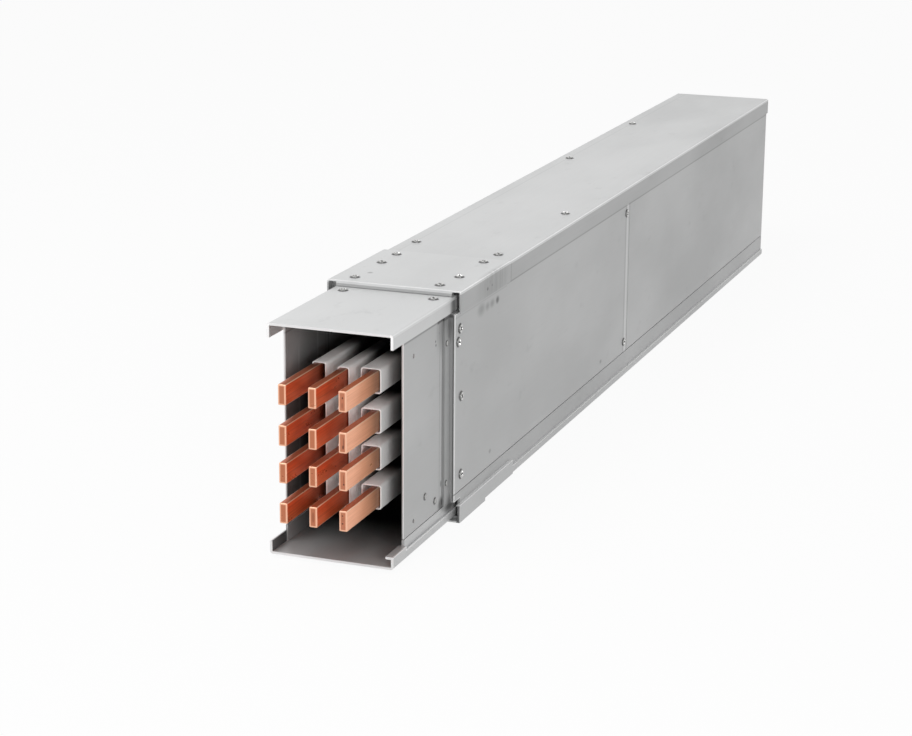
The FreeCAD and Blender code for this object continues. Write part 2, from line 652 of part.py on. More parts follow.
endCap()
endChannel()
topCover()
bottomCover()
jointTopCover()
jointBottomCover()
for side, sign in (("left", "-1 * "), ("right", "")):
    endPlate(side, sign)
    closure(side, sign)
    ductSide(side, sign)
for row, up in rows:
    for column, across, sleeveStart, leftOpen, rightOpen in columns:
        bar(row, column, across, up, sleeveStart)
        sleeve(row, column, across, up, sleeveStart, leftOpen, rightOpen)
supports()
allFasteners()
doc.recompute()

# Checks, then one file for each piece
for item in doc.Objects:
    if "Invalid" in item.State or "Error" in item.State:
        raise RuntimeError("%s failed: %s" % (item.Label, item.State))
pieces = [item for item in doc.Objects if item.TypeId in ("PartDesign::Body", "Part::Feature")]
for piece in pieces:
    if piece.Shape.isNull() or not piece.Shape.isValid():
        raise RuntimeError("%s has no valid shape" % piece.Label)
for piece in pieces:
    piece.Shape.exportStep("parts/%s.step" % piece.Label)
print(len(pieces), "pieces")
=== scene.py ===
import math

import bpy
import numpy as np
from mathutils import Matrix, Vector


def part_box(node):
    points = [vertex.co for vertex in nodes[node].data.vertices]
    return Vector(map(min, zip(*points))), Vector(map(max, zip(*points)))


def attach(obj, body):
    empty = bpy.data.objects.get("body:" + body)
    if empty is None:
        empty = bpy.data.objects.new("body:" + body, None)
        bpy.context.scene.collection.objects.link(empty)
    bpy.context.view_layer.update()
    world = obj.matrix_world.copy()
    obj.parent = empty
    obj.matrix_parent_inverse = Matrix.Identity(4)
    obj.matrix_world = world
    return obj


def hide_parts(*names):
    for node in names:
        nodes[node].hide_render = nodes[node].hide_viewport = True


# Busway section: sheet-metal duct with an open bar end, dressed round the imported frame
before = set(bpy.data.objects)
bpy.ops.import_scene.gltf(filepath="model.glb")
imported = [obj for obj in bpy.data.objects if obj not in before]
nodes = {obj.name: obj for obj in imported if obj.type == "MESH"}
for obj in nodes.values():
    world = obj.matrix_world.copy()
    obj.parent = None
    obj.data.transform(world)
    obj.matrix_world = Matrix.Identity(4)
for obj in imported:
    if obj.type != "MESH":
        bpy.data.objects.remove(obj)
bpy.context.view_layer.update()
print("frame loaded:", len(nodes), "nodes")

# Camera and studio
viewpoint = {
    "place": (1.0519, -3.2782, 0.9742),
    "yaw": 20.53,      # degrees to the left of straight along the duct
    "pitch": 15.62,    # degrees down
    "roll": -0.39,
    "lens": 91.7,
    "sensor": 36.0,
    "farthest": 100.0,
}
studio = {
    "skyOnDiffuse": 0.48,
    # lamps: place, power, size, target
    "keyLamp": ((-1.2, -2.4, 3.4), 60.0, 2.6, (0, -0.3, 0.15)),
    "frontLamp": ((0.3, -4.2, 0.9), 2.0, 1.8, (0, -0.6, 0.15)),
    "rightLamp": ((2.3, -3.4, 1.0), 34.0, 1.2, (0, -0.9, 0.15)),
    "floorReach": 40.0,
    "floorGlow": 0.93,     # share of the floor that shows as plain white
    "floorColour": (0.90, 0.90, 0.90, 1.0),
}


def addCamera():
    yaw, pitch, roll = (math.radians(viewpoint[k]) for k in ("yaw", "pitch", "roll"))
    ahead = Vector((-math.sin(yaw) * math.cos(pitch), math.cos(yaw) * math.cos(pitch), -math.sin(pitch)))
    level = Vector((math.cos(yaw), math.sin(yaw), 0.0))
    down = ahead.cross(level)
    right = level * math.cos(roll) + down * math.sin(roll)
    up = level * math.sin(roll) - down * math.cos(roll)
    camera = bpy.data.objects.new("viewCamera", bpy.data.cameras.new("viewCamera"))
    turn = Matrix((right, up, -ahead)).transposed().to_4x4()
    camera.matrix_world = Matrix.Translation(viewpoint["place"]) @ turn
    camera.data.lens = viewpoint["lens"]
    camera.data.sensor_width = viewpoint["sensor"]
    camera.data.clip_end = viewpoint["farthest"]
    bpy.context.collection.objects.link(camera)
    bpy.context.scene.camera = camera


def addLamp(name, place, power, size, target):
    lamp = bpy.data.lights.new(name, "AREA")
    lamp.shape = "DISK"
    lamp.energy = power
    lamp.size = size
    holder = bpy.data.objects.new(name, lamp)
    holder.location = place
    holder.rotation_euler = (Vector(target) - Vector(place)).to_track_quat("-Z", "Y").to_euler()
    bpy.context.collection.objects.link(holder)


def addNode(tree, kind, inputs=None, **settings):
    node = tree.nodes.new(kind)
    for key, value in settings.items():
        setattr(node, key, value)
    for key, value in (inputs or {}).items():
        if isinstance(value, bpy.types.NodeSocket):
            tree.links.new(value, node.inputs[key])
        else:
            node.inputs[key].default_value = value
    return node


def whiteToTheEye(tree):
    # 1 for rays that show the backdrop: camera, glossy and transmission
    path = addNode(tree, "ShaderNodeLightPath")
    seen = addNode(tree, "ShaderNodeMath", {0: path.outputs["Is Camera Ray"], 1: path.outputs["Is Glossy Ray"]},
                   operation="MAXIMUM")
    both = addNode(tree, "ShaderNodeMath", {0: seen.outputs[0], 1: path.outputs["Is Transmission Ray"]},
                   operation="MAXIMUM")
    return both.outputs[0]


def addWorld():
    world = bpy.data.worlds.new("studioSky")
    bpy.context.scene.world = world
    world.use_nodes = True
    tree = world.node_tree
    tree.nodes.clear()
    strength = addNode(tree, "ShaderNodeMapRange", {"Value": whiteToTheEye(tree), "To Min": studio["skyOnDiffuse"],
                                                    "To Max": 1.0})
    sky = addNode(tree, "ShaderNodeBackground", {"Color": (1.0, 1.0, 1.0, 1.0), "Strength": strength.outputs[0]})
    addNode(tree, "ShaderNodeOutputWorld", {"Surface": sky.outputs[0]})


def addFloor():
    reach = studio["floorReach"]
    mesh = bpy.data.meshes.new("studioFloor")
    mesh.from_pydata([(-reach, -reach, 0), (reach, -reach, 0), (reach, reach, 0), (-reach, reach, 0)], [],
                     [(0, 1, 2, 3)])
    floor = bpy.data.objects.new("studioFloor", mesh)
    bpy.context.collection.objects.link(floor)
    paper = bpy.data.materials.new("paleFloor")
    paper.use_nodes = True
    tree = paper.node_tree
    tree.nodes.clear()
    plain = addNode(tree, "ShaderNodeBsdfDiffuse", {"Color": studio["floorColour"]})
    glow = addNode(tree, "ShaderNodeEmission", {"Color": (1.0, 1.0, 1.0, 1.0), "Strength": 1.0})
    share = addNode(tree, "ShaderNodeMath", {0: whiteToTheEye(tree), 1: studio["floorGlow"]}, operation="MULTIPLY")
    mixed = addNode(tree, "ShaderNodeMixShader", {0: share.outputs[0], 1: plain.outputs[0], 2: glow.outputs[0]})
    addNode(tree, "ShaderNodeOutputMaterial", {"Surface": mixed.outputs[0]})
    mesh.materials.append(paper)


bpy.context.scene.view_settings.view_transform = "Standard"
addCamera()
addWorld()
addFloor()
for lampName in ("keyLamp", "frontLamp", "rightLamp"):
    addLamp(lampName, *studio[lampName])
print("camera, floor and lamps in place")


# Material helpers: each returns a socket
soft = {"limit": 0.0004, "line": 0.6}     # metres, share of a line's half width


def objectPlace(tree, scale, offset):
    source = addNode(tree, "ShaderNodeTexCoord")
    mapped = addNode(tree, "ShaderNodeMapping", {"Vector": source.outputs["Object"], "Scale": scale,
                                                 "Location": offset})
    return mapped.outputs[0]


def objectAxis(tree, axis):
    # One object coordinate, in metres
    source = addNode(tree, "ShaderNodeTexCoord")
    split = addNode(tree, "ShaderNodeSeparateXYZ", {0: source.outputs["Object"]})
    return split.outputs["XYZ".index(axis)]


def noise(tree, scale, detail, roughness, offset=(0, 0, 0)):
    # Scale: strokes to the metre along X, Y and Z
    place = objectPlace(tree, scale, offset)
    return addNode(tree, "ShaderNodeTexNoise", {"Vector": place, "Scale": 1.0, "Detail": detail,
                                                "Roughness": roughness}).outputs["Fac"]


def ranged(tree, value, low, high, toLow, toHigh, smooth=False):
    kind = "SMOOTHSTEP" if smooth else "LINEAR"
    return addNode(tree, "ShaderNodeMapRange", {"Value": value, "From Min": low, "From Max": high,
                                                "To Min": toLow, "To Max": toHigh},
                   interpolation_type=kind).outputs[0]


def maths(tree, operation, first, second=0.5, clamp=False):
    return addNode(tree, "ShaderNodeMath", {0: first, 1: second}, operation=operation, use_clamp=clamp).outputs[0]


def product(tree, first, *others):
    for other in others:
        first = maths(tree, "MULTIPLY", first, other)
    return first


def mixColour(tree, share, first, second):
    # Inputs 6 and 7 of the node are its two colours, and output 2 their mix
    mix = addNode(tree, "ShaderNodeMix", data_type="RGBA")
    for key, value in ((0, share), (6, first), (7, second)):
        if isinstance(value, bpy.types.NodeSocket):
            tree.links.new(value, mix.inputs[key])
        else:
            mix.inputs[key].default_value = value
    return mix.outputs[2]


def fromMiddle(tree, axis, centre=0.0):
    # Distance along one axis
    return maths(tree, "ABSOLUTE", maths(tree, "SUBTRACT", objectAxis(tree, axis), centre))


def band(tree, axis, centre, half, side):
    # 1 within half a width of centre along one axis, with soft sides
    return ranged(tree, fromMiddle(tree, axis, centre), half - side, half + side, 1.0, 0.0)


def longLine(tree, across, up, reach):
    # 1 near a line along the duct, on its left and its right side alike
    x = maths(tree, "SUBTRACT", fromMiddle(tree, "X"), across)
    z = maths(tree, "SUBTRACT", objectAxis(tree, "Z"), up)
    away = maths(tree, "SQRT", maths(tree, "ADD", product(tree, x, x), product(tree, z, z)))
    return ranged(tree, away, reach * soft["line"], reach, 1.0, 0.0)


def stroke(tree, axis, centre, half, depth, *within):
    # A straight mark across one axis; within: more (axis, low, high) limits, X counted from the middle plane
    share = product(tree, band(tree, axis, centre, half, half * soft["line"]), depth)
    edge = soft["limit"]
    for other, low, high in within:
        place = fromMiddle(tree, other) if other == "X" else objectAxis(tree, other)
        share = product(tree, share, ranged(tree, place, low - edge, low + edge, 0.0, 1.0),
                        ranged(tree, place, high - edge, high + edge, 1.0, 0.0))
    return share


def distance(tree, scale, offset):
    return addNode(tree, "ShaderNodeVectorMath", {0: objectPlace(tree, scale, offset)},
                   operation="LENGTH").outputs["Value"]


def spot(tree, centre, reach, edge):
    # 1 inside an ellipsoid round centre, falling from edge to 0 at reach; a reach of 0 ignores that axis
    scale = [1.0 / r if r else 0.0 for r in reach]
    offset = [-c * s for c, s in zip(centre, scale)]
    return ranged(tree, distance(tree, scale, offset), edge, 1.0, 1.0, 0.0, smooth=True)


def startMaterial(name):
    material = bpy.data.materials.new(name)
    material.use_nodes = True
    tree = material.node_tree
    tree.nodes.clear()
    shader = addNode(tree, "ShaderNodeBsdfPrincipled")
    addNode(tree, "ShaderNodeOutputMaterial", {"Surface": shader.outputs[0]})
    return material, tree, shader


def setLook(tree, shader, colour, rough, metallic, height, strength, depth):
    tree.links.new(colour, shader.inputs["Base Color"])
    tree.links.new(rough, shader.inputs["Roughness"])
    shader.inputs["Metallic"].default_value = metallic
    bump = addNode(tree, "ShaderNodeBump", {"Height": height, "Strength": strength, "Distance": depth})
    tree.links.new(bump.outputs[0], shader.inputs["Normal"])


# Satin sheet metal: fine grain along the duct, faint clouding, smudges and scuffs
sheetMetal = {
    "colour": (0.66, 0.665, 0.665),
    "cloudedColour": (0.61, 0.615, 0.615),
    # dark colour of smudges and scuffs, also used for painted shade
    "smudgeAndShadeColour": (0.075, 0.075, 0.075, 1.0),
    # painted highlight on cut edges, folds and upper edges
    "highlightColour": (0.95, 0.95, 0.95, 1.0),
    # painted shade on the inner faces
    "innerShadeColour": (0.012, 0.013, 0.014, 1.0),
    "metallic": 0.40,
    "grain": ((1400.0, 9.0, 1400.0), 4.0, 0.6),
    "clouds": ((5.0, 2.2, 5.0), 4.0, 0.55),
    "handling": ((38.0, 20.0, 38.0), 5.0, 0.6, (3.1, 1.7, 0.4)),
    "scuffs": ((260.0, 40.0, 260.0), 2.0, 0.5, (0.7, 5.2, 2.9)),
    "streaks": ((60.0, 420.0, 16.0), 3.0, 0.6, (2.2, 0.9, 1.4)),
    # where a noise starts to show and is full, then its shares there
    "cloudShare": (0.35, 0.70, 0.0, 1.0),
    "grainShare": (0.35, 0.75, 0.0, 0.16),
    "smudgeShare": (0.60, 0.80, 0.0, 0.12),
    "scuffShare": (0.70, 0.80, 0.0, 0.072),
    "streakShare": (0.34, 0.62, 0.35, 1.0),
    "streakEdge": 0.30,
    "roughness": (0.3, 0.7, 0.34, 0.50),
    "grainRoughness": (0.3, 0.7, -0.04, 0.04),
    "dirtRoughness": 0.12,
    "grainBump": (0.05, 0.0003),   # strength, depth
    "lipSoft": 0.0006,
    "cutDepth": 0.0009,            # how far a painted highlight on a cut edge reaches back
    "foldReach": 0.0010,           # half width of the painted highlight on a fold
}
# How light each sheet's metal is, painted light and shade: top sheets lighter, side and bottom sheets darker, the
# closure in its recess darkest
shades = {
    "capSheet": 1.12,
    "jointSheet": 1.05,
    "coverSheet": 1.0,
    "channelSheet": 0.86,
    "lowerJointSheet": 0.80,
    "traySheet": 0.80,
    "panelSheet": 0.74,
    "rearPanelSheet": 0.74,
    "stripSheet": 0.74,
    "housingSheet": 0.72,
    "railSheet": 0.68,
    "closureSheet": 0.58,
}


def uprightStreaks(tree, centre, reach, depth):
    # Dark upright streaks that fade out round a place: grime and painted shade together
    dark = ranged(tree, noise(tree, *sheetMetal["streaks"]), *sheetMetal["streakShare"])
    return product(tree, dark, spot(tree, centre, reach, sheetMetal["streakEdge"]), depth)


def sheetMaterial(name, spots=(), highlights=(), lines=(), folds=(), lip=None, insideShadeMask=None, streaks=()):
    # lines are dark strokes, mostly painted shade, and bright strokes are painted highlights; lip: height below which
    # the sheet is a side lip darkened by painted shade, and how much; folds: painted highlights at (across, up,
    # share); the inside function gives the share of the painted inner shade
    material, tree, shader = startMaterial(name)
    look = sheetMetal
    grain = noise(tree, *look["grain"])
    clouds = noise(tree, *look["clouds"])
    base, clouded = ([c * shades[name] for c in look[key]] + [1.0] for key in ("colour", "cloudedColour"))
    colour = mixColour(tree, ranged(tree, clouds, *look["cloudShare"], True), base, clouded)
    colour = mixColour(tree, ranged(tree, grain, *look["grainShare"]), colour, clouded)
    # Painted shade: the side lip below its height is darker than the top
    if lip is not None:
        height, lipShadeShare = lip
        below = ranged(tree, objectAxis(tree, "Z"), height - look["lipSoft"], height, lipShadeShare, 0.0)
        colour = mixColour(tree, below, colour, look["smudgeAndShadeColour"])
    # Painted highlights along the folds
    for across, up, foldShare in folds:
        foldHighlight = product(tree, longLine(tree, across, up, look["foldReach"]), foldShare)
        colour = mixColour(tree, foldHighlight, colour, look["highlightColour"])
    # Dark marks: smudges and scuffs are dirt and wear; rings round heads, most strokes and streaks are painted shade
    dark = [ranged(tree, noise(tree, *look["handling"]), *look["smudgeShare"], True),
            ranged(tree, noise(tree, *look["scuffs"]), *look["scuffShare"], True)]
    dark += [product(tree, spot(tree, centre, reach, edge), depth) for centre, reach, edge, depth in spots]
    dark += [stroke(tree, *line) for line in lines]
    dark += [uprightStreaks(tree, *place) for place in streaks]
    darkest = dark[0]
    for share in dark[1:]:
        darkest = maths(tree, "MAXIMUM", darkest, share)
    colour = mixColour(tree, darkest, colour, look["smudgeAndShadeColour"])
    # Painted highlights on edges
    for line in highlights:
        colour = mixColour(tree, stroke(tree, *line), colour, look["highlightColour"])
    rough = maths(tree, "ADD", ranged(tree, clouds, *look["roughness"]), ranged(tree, grain, *look["grainRoughness"]))
    rough = maths(tree, "ADD", rough, product(tree, darkest, look["dirtRoughness"]), clamp=True)
    # Painted shade on the inside
    if insideShadeMask is not None:
        colour = mixColour(tree, insideShadeMask(tree), colour, look["innerShadeColour"])
    setLook(tree, shader, colour, rough, look["metallic"], grain, *look["grainBump"])
    return material


# Bare copper: drawn streaks along the bar, painted shade on the tops and deep in the housing, a paler lit copy for
# the right column, painted highlights on the long edges and tip rims, duller tip middles
copper = {
    "colour": (0.92, 0.20, 0.070, 1.0),
    "streaked": (0.58, 0.11, 0.040, 1.0),
    # painted light: paler colour for the right column's right faces
    "lit": (1.00, 0.50, 0.30, 1.0),
    # painted shade on the tops
    "topShade": (0.46, 0.13, 0.06, 1.0),
    # painted highlight on the long edges
    "edgeHighlight": (0.98, 0.66, 0.46, 1.0),
    # painted highlight round the tip's rim
    "tipRimHighlight": (0.90, 0.50, 0.33, 1.0),
    "tipMiddle": (0.50, 0.17, 0.085, 1.0),
    # streaks on the painted lit bars
    "litStreaked": (0.74, 0.31, 0.17, 1.0),
    "markColour": (0.10, 0.03, 0.015, 1.0),
    # painted shade deep in the housing
    "deepShadeColour": (0.03, 0.008, 0.004, 1.0),
    "metallic": 0.60,
    # less metallic on the painted lit bars
    "litMetallic": 0.25,
    "streaks": ((620.0, 9.0, 620.0), 4.0, 0.65),
    "patches": ((50.0, 22.0, 50.0), 4.0, 0.6, (1.3, 0.2, 4.4)),
    "patchShare": (0.50, 0.78, 0.0, 0.35),
    "streakShare": (0.42, 0.66, 0.0, 0.60),
    "roughness": (0.3, 0.7, 0.26, 0.40),
    "streakBump": (0.10, 0.0002),
    "skin": (0.0009, 0.0004),   # a face's own colour starts and is full this far inside it
    # share of the painted light on the right column's right faces
    "litShare": 0.9,
    # share of the painted shade on the tops
    "topShadeShare": 0.85,
    "edgeReach": 0.0009,        # width of the painted highlight on the long edges
    "edgeSoft": 0.0002,
    "tipDepth": 0.0014,
    "tipSoft": 0.8,
    "rim": 0.0019,              # width of the painted highlight round a tip
    "rimSoft": 0.0004,
    "markEdge": 0.6,
    "darkFrom": 0.050,          # painted shade starts this far behind the tip
    "darkTo": 0.130,
}


def middleOf(tree, low, high, edge, side):
    # 1 between a bar's long edges, across and upright
    return [band(tree, "XYZ"[i], (low[i] + high[i]) / 2, (high[i] - low[i]) / 2 - edge, side) for i in (0, 2)]


def copperMaterial(name, low, high, lit, marks):
    material, tree, shader = startMaterial(name)
    look = copper
    skinFrom, skinFull = look["skin"]
    streaks = noise(tree, *look["streaks"])
    patches = noise(tree, *look["patches"])
    colour = mixColour(tree, ranged(tree, patches, *look["patchShare"], True), look["colour"], look["streaked"])
    # Painted light: the right column's right faces are paler
    if lit:
        side = ranged(tree, objectAxis(tree, "X"), high[0] - skinFrom, high[0] - skinFull, 0.0, look["litShare"])
        colour = mixColour(tree, side, colour, look["lit"])
    drawn = look["litStreaked" if lit else "streaked"]
    colour = mixColour(tree, ranged(tree, streaks, *look["streakShare"]), colour, drawn)
    # Painted shade on the tops
    top = ranged(tree, objectAxis(tree, "Z"), high[2] - skinFrom, high[2] - skinFull, 0.0, look["topShadeShare"])
    colour = mixColour(tree, top, colour, look["topShade"])
    # Long edges: painted highlight
    flats = middleOf(tree, low, high, look["edgeReach"], look["edgeSoft"])
    edge = maths(tree, "SUBTRACT", 1.0, maths(tree, "MAXIMUM", *flats), clamp=True)
    colour = mixColour(tree, edge, colour, look["edgeHighlight"])
    # Tip: painted highlight round the rim, duller middle
    tipEnd = low[1] + look["tipDepth"]
    tip = ranged(tree, objectAxis(tree, "Y"), low[1] + look["tipDepth"] * look["tipSoft"], tipEnd, 1.0, 0.0)
    colour = mixColour(tree, tip, colour, look["tipRimHighlight"])
    tipInner = product(tree, *middleOf(tree, low, high, look["rim"], look["rimSoft"]), tip)
    colour = mixColour(tree, tipInner, colour, look["tipMiddle"])
    for centre, reach, depth in marks:
        patch = product(tree, spot(tree, centre, reach, look["markEdge"]), depth)
        colour = mixColour(tree, patch, colour, look["markColour"])
    # Painted shade deep in the housing
    deepShade = ranged(tree, objectAxis(tree, "Y"), low[1] + look["darkFrom"], low[1] + look["darkTo"], 0.0, 1.0, True)
    colour = mixColour(tree, deepShade, colour, look["deepShadeColour"])
    rough = ranged(tree, patches, *look["roughness"])
    metallic = look["litMetallic" if lit else "metallic"]
    setLook(tree, shader, colour, rough, metallic, streaks, *look["streakBump"])
    return material


# White insulation: soft off-white plastic, dusty, with painted shade that makes it dark deep inside the housing
insulation = {
    "colour": (0.95, 0.95, 0.94, 1.0),
    "aged": (0.91, 0.905, 0.89, 1.0),
    # painted shade deep in the housing
    "deepShade": (0.010, 0.010, 0.011, 1.0),
    "patches": ((30.0, 12.0, 30.0), 4.0, 0.55),
    "patchShare": (0.40, 0.80, 0.0, 0.7),
    "roughness": (0.3, 0.7, 0.42, 0.60),
    "skin": ((420.0, 120.0, 420.0), 3.0, 0.5),
    "skinBump": (0.12, 0.0004),
    # how far behind the mouth a column's sleeves stay white, and where painted shade makes them dark
    "reach": {"left": (0.044, 0.112), "middle": (0.030, 0.096), "right": (0.030, 0.082)},
}


def insulationMaterial(column, mouth):
    material, tree, shader = startMaterial("insulation_" + column)
    look = insulation
    patches = noise(tree, *look["patches"])
    colour = mixColour(tree, ranged(tree, patches, *look["patchShare"], True), look["colour"], look["aged"])
    # Painted shade: darker further behind the mouth
    lit, dark = look["reach"][column]
    deepShade = ranged(tree, objectAxis(tree, "Y"), mouth + lit, mouth + dark, 0.0, 1.0, True)
    colour = mixColour(tree, deepShade, colour, look["deepShade"])
    rough = ranged(tree, patches, *look["roughness"])
    setLook(tree, shader, colour, rough, 0.0, noise(tree, *look["skin"]), *look["skinBump"])
    return material


# Plated screws and rivets: bright crowns, with painted shadow at the rim and in the recess
plating = {
    "colour": (0.66, 0.66, 0.65, 1.0),
    "dull": (0.40, 0.40, 0.39, 1.0),
    # darker patch colour of rivets, partly painted shade
    "shadedDull": (0.20, 0.20, 0.20, 1.0),
    "shadow": (0.06, 0.06, 0.06, 1.0),
    "patches": ((500.0, 500.0, 500.0), 3.0, 0.6),
    "patchShare": (0.45, 0.70, 0.0, 0.6),
    "roughness": (0.3, 0.7, 0.16, 0.30),
    "bump": (0.08, 0.0002),
    "rim": (0.78, 0.91, 0.80),         # painted shadow at the rim: starts and is full at these shares of the radius; its depth
    "recess": (0.45, 0.80),            # painted shade in the recess: shares of the recess's depth
    "recessReach": (0.72, 0.78),       # shares of the radius
}


def platingMaterial(name, places, axis, shape, crossed):
    # places: middle of each head on its outer plane; the axis is the one that the heads point along
    material, tree, shader = startMaterial(name)
    look = plating
    patches = noise(tree, *look["patches"])
    # Rivets take the darker pair, partly painted shade for the dark places where they sit
    bright, dull = (look["colour"], look["dull"]) if crossed else (look["dull"], look["shadedDull"])
    colour = mixColour(tree, ranged(tree, patches, *look["patchShare"], True), bright, dull)
    side = int(np.argmax(np.abs(axis)))
    across = [0.0 if i == side else 1.0 for i in range(3)]
    nearest = 1.0
    for middle in places:
        away = distance(tree, across, [-m * a for m, a in zip(middle, across)])
        nearest = maths(tree, "MINIMUM", away, nearest)
    radius = shape["headRadius"]
    # Painted shadow at each head's rim and painted shade in a screw's recess
    rimFrom, rimFull, rimDepth = look["rim"]
    dark = ranged(tree, nearest, radius * rimFrom, radius * rimFull, 0.0, rimDepth)
    if crossed:
        sunk = fromMiddle(tree, "XYZ"[side], places[0][side])
        recess = ranged(tree, sunk, *(shape["crossDepth"] * share for share in look["recess"]), 0.0, 1.0)
        inner = ranged(tree, nearest, *(radius * share for share in look["recessReach"]), 1.0, 0.0)
        dark = maths(tree, "MAXIMUM", dark, product(tree, recess, inner))
    colour = mixColour(tree, dark, colour, look["shadow"])
    setLook(tree, shader, colour, ranged(tree, patches, *look["roughness"]), 1.0, patches, *look["bump"])
    return material


# Black support board
board = {
    "colour": (0.035, 0.035, 0.037, 1.0),
    "dusty": (0.10, 0.10, 0.10, 1.0),
    "dust": ((70.0, 70.0, 70.0), 5.0, 0.6),
    "dustShare": (0.45, 0.80, 0.0, 0.6),
    "roughness": (0.3, 0.7, 0.5, 0.7),
    "weave": ((700.0, 700.0, 700.0), 2.0, 0.5),
    "weaveBump": (0.15, 0.0003),
}


def boardMaterial(name):
    material, tree, shader = startMaterial(name)
    dust = noise(tree, *board["dust"])
    colour = mixColour(tree, ranged(tree, dust, *board["dustShare"], True), board["colour"], board["dusty"])
    rough = ranged(tree, dust, *board["roughness"])
    setLook(tree, shader, colour, rough, 0.0, noise(tree, *board["weave"]), *board["weaveBump"])
    return material


# Mesh helpers
def finishMesh(name, points, faces, smoothAngle):
    # Turns the faces outwards if the closed shape's signed volume is negative
    triangles = np.array([(f[0], f[i], f[i + 1]) for f in faces for i in range(1, len(f) - 1)])
    a, b, c = points[triangles[:, 0]], points[triangles[:, 1]], points[triangles[:, 2]]
    if np.einsum("ij,ij->i", a, np.cross(b, c)).sum() < 0:
        faces = [tuple(reversed(f)) for f in faces]
    mesh = bpy.data.meshes.new(name)
    mesh.from_pydata(points.tolist(), [], faces)
    mesh.polygons.foreach_set("use_smooth", np.ones(len(mesh.polygons), dtype=bool))
    mesh.set_sharp_from_angle(angle=math.radians(smoothAngle))
    mesh.update()
    piece = bpy.data.objects.new(name, mesh)
    bpy.context.collection.objects.link(piece)
    return piece


def ringFaces(along, around, closedAlong=False):
    # Quads between neighbouring rings of a grid that closes round each ring
    index = np.arange(along * around).reshape(along, around)
    beside = np.roll(index, -1, axis=1)
    if closedAlong:
        stack = (index, beside, np.roll(beside, -1, axis=0), np.roll(index, -1, axis=0))
    else:
        stack = (index[:-1], beside[:-1], beside[1:], index[1:])
    return [tuple(q) for q in np.stack(stack, axis=-1).reshape(-1, 4).tolist()]


def roundedOutline(left, right, low, high, radius, steps):
    # Rectangle whose corners are quarter circles: centre plus radius times cosine and sine
    turn = np.linspace(0.0, math.pi / 2, steps)
    pieces = []
    for x, z, start in ((right - radius, high - radius, 0), (left + radius, high - radius, 1),
                        (left + radius, low + radius, 2), (right - radius, low + radius, 3)):
        angle = turn + start * math.pi / 2
        pieces.append(np.stack([x + radius * np.cos(angle), z + radius * np.sin(angle)], axis=1))
    return np.concatenate(pieces)


def carriedRings(low, high, insets, places, shape):
    # One rounded outline for each place along the duct, drawn in by its inset
    rings = []
    for d, y in zip(insets, places):
        radius = max(shape["cornerRadius"] - d, shape["leastRadius"])
        flat = roundedOutline(low[0] + d, high[0] - d, low[2] + d, high[2] - d, radius, shape["cornerSteps"])
        rings.append(np.column_stack([flat[:, 0], np.full(len(flat), y), flat[:, 1]]))
    return np.array(rings)


def dress(piece, node, material):
    piece.data.materials.clear()
    piece.data.materials.append(material)
    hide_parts(node)
    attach(piece, "root")


# Copper bars: a rounded rectangle carried along the duct, with rolled tip edges
barShape = {
    "cornerRadius": 0.0011,
    "cornerSteps": 5,
    "tipSteps": 5,
    "stretch": 0.06,     # length of one ring gap along the bar
    "leastRadius": 0.0003,
    "smoothBelow": 50,   # degrees
}
rowNames = ("row1", "row2", "row3", "row4")
columnNames = ("left", "middle", "right")


def buildBar(node, material):
    # Ring j is the outline drawn in by d, at y; at a tip d = r(1 - sin a) and y = r(1 - cos a)
    low, high = (np.array(corner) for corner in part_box(node))
    radius = barShape["cornerRadius"]
    turn = np.linspace(0.0, math.pi / 2, barShape["tipSteps"])
    inset = radius * (1 - np.sin(turn))
    setBack = radius * (1 - np.cos(turn))
    body = np.arange(low[1] + radius + barShape["stretch"], high[1] - radius, barShape["stretch"])
    insets = np.concatenate([inset, np.zeros(len(body)), inset[::-1]])
    places = np.concatenate([low[1] + setBack, body, high[1] - setBack[::-1]])
    rings = carriedRings(low, high, insets, places, barShape)
    along, around = rings.shape[:2]
    faces = ringFaces(along, around)
    faces.append(tuple(range(around)))
    faces.append(tuple(range((along - 1) * around, along * around))[::-1])
    piece = finishMesh("dressed_" + node, rings.reshape(-1, 3), faces, barShape["smoothBelow"])
    dress(piece, node, material)


tipMarkReach = 0.0012
tipMarks = {
    # across and up from the bar's middle, then half sizes, in metres, with the mark's depth of colour
    "bar_row1_right": [((0.0002, 0.0045), (0.0010, 0.0016), 1.0), ((0.0, -0.0045), (0.0016, 0.0040), 0.30)],
    "bar_row2_right": [((0.0012, 0.0), (0.0008, 0.0085), 0.55), ((0.0006, -0.0050), (0.0011, 0.0030), 1.0)],
    "bar_row3_right": [((0.0010, 0.0010), (0.0006, 0.0080), 0.50), ((0.0012, -0.0045), (0.0013, 0.0013), 1.0)],
    "bar_row4_right": [((-0.0006, 0.0065), (0.0012, 0.0011), 1.0), ((-0.0006, -0.0030), (0.0013, 0.0013), 1.0),
                       ((-0.0003, 0.0020), (0.0010, 0.0035), 0.35)],
    "bar_row4_middle": [((0.0, 0.0), (0.0020, 0.0080), 0.35)],
}


def buildBars():
    for row in rowNames:
        for column in columnNames:
            node = "bar_%s_%s" % (row, column)
            low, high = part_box(node)
            across, up = (low[0] + high[0]) / 2, (low[2] + high[2]) / 2
            marks = [((across + x, low[1], up + z), (w, tipMarkReach, h), depth)
                     for (x, z), (w, h), depth in tipMarks.get(node, ())]
            buildBar(node, copperMaterial("copper_" + node, low, high, column == "right", marks))
    print("bars built")


# Insulating sleeves: a thin rounded tube with a soft lip at both ends
sleeveShape = {
    "wall": 0.0018,
    "cornerRadius": 0.0034,
    "leastRadius": 0.0010,
    "cornerSteps": 7,
    "lipSteps": 6,
    "stretch": 0.03,
    "sag": 0.00025,
    "waves": (41.0, 17.0),      # radians to the metre
    "seeds": (1.7, 0.9),        # for each row and each column
    "smoothBelow": 60,
}


